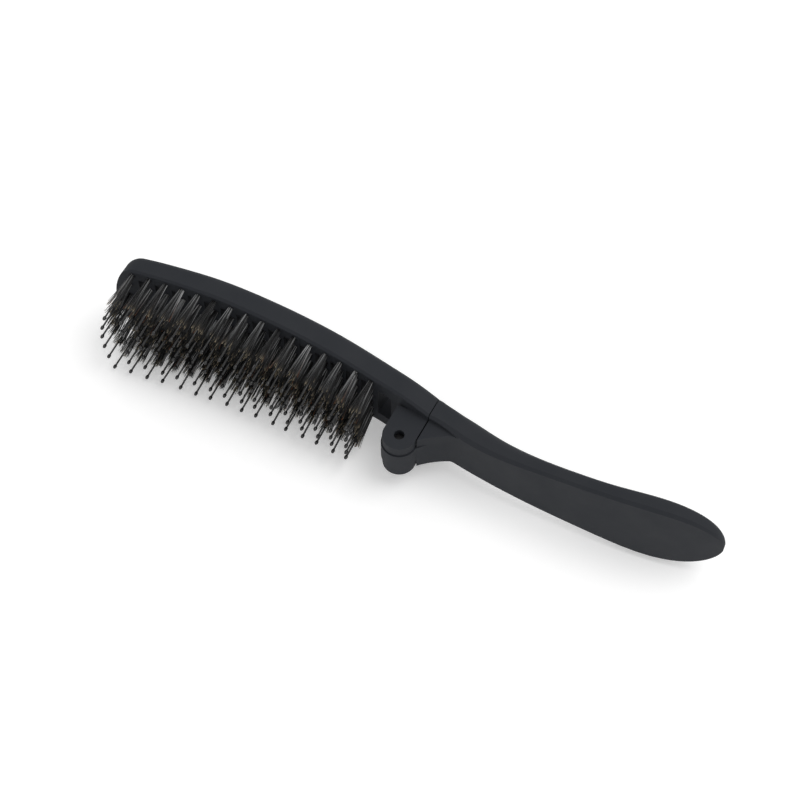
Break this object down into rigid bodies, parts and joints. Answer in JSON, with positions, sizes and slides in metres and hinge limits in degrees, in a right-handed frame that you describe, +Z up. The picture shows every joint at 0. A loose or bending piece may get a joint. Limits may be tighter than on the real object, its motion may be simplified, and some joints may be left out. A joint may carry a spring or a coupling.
{
  "type": "folding scalp brush",
  "caption": "Folding scalp brush: an arched, vented head with flared bristle tufts and ball-tipped pins, and a curved handle that folds under the bristles on a pin hinge.",
  "frame": {"origin": "on the surface that the brush lies on, under the middle of its box when open", "axes": "+X from the head to the end of the handle, +Y from the bristle tips to the back, +Z up across the width"},
  "size_m": [0.207, 0.032, 0.0338],
  "materials": {
    "soft_black": "soft-touch matte",
    "pin_steel": "plain ground",
    "boar_bristle": "natural bristle",
    "black_nylon": "glossy",
    "anchor_wire": "flat wire"
  },
  "bodies": {
    "head": {"head_frame": "soft_black", "hinge_pin": "pin_steel", "bristle_row_1": "boar_bristle", "pin_row_1": "black_nylon", "anchor_row_1": "anchor_wire", "bristle_row_2": "boar_bristle", "pin_row_2": "black_nylon", "anchor_row_2": "anchor_wire", "bristle_row_3": "boar_bristle", "pin_row_3": "black_nylon", "anchor_row_3": "anchor_wire", "bristle_row_4": "boar_bristle", "pin_row_4": "black_nylon", "anchor_row_4": "anchor_wire", "bristle_row_5": "boar_bristle", "pin_row_5": "black_nylon", "anchor_row_5": "anchor_wire", "bristle_row_6": "boar_bristle", "pin_row_6": "black_nylon", "anchor_row_6": "anchor_wire"},
    "handle": {"handle": "soft_black"}
  },
  "joints": [
    {"name": "handle_fold", "type": "hinge", "parent": "head", "child": "handle", "pos_m": [0.00255, -0.00524, 0.0168], "axis": [0, 0, -1], "range_deg": [0, 176]}
  ]
}
